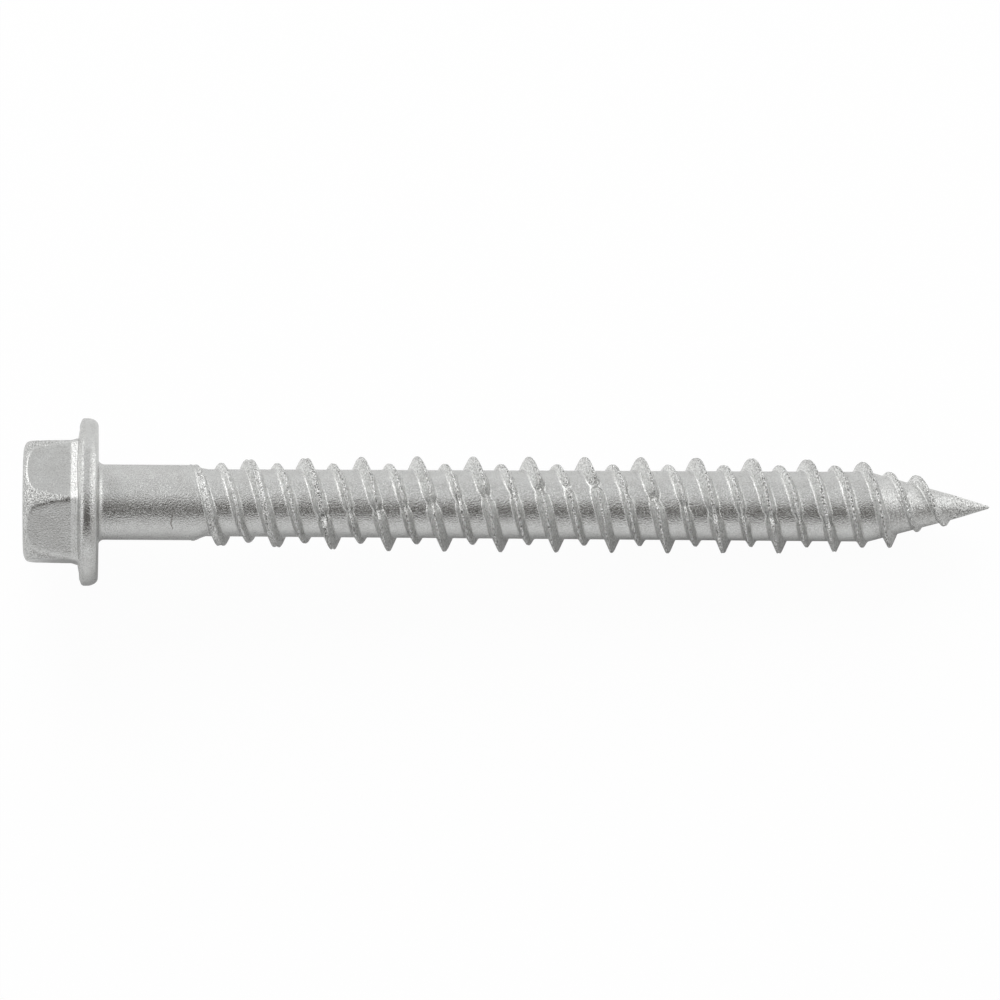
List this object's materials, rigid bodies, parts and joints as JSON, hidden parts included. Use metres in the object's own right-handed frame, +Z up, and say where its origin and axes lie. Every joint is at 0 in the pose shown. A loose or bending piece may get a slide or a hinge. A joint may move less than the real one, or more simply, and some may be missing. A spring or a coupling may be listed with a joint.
{
  "type": "concrete screw",
  "caption": "Concrete screw with a hexagon washer head, a short plain shank, a twin thread of a high and a low ridge, and a sharp cone point, lying on its side.",
  "frame": {"origin": "on the floor, under the middle of the lying screw", "axes": "+X from the head towards the point, +Y across, +Z up; the screw's own axis dips a little towards the point"},
  "size_m": [0.0651, 0.0112, 0.0112],
  "materials": {
    "zinc_steel": "grainy zinc coating"
  },
  "bodies": {
    "root": {"concrete_screw": "zinc_steel"}
  },
  "joints": []
}
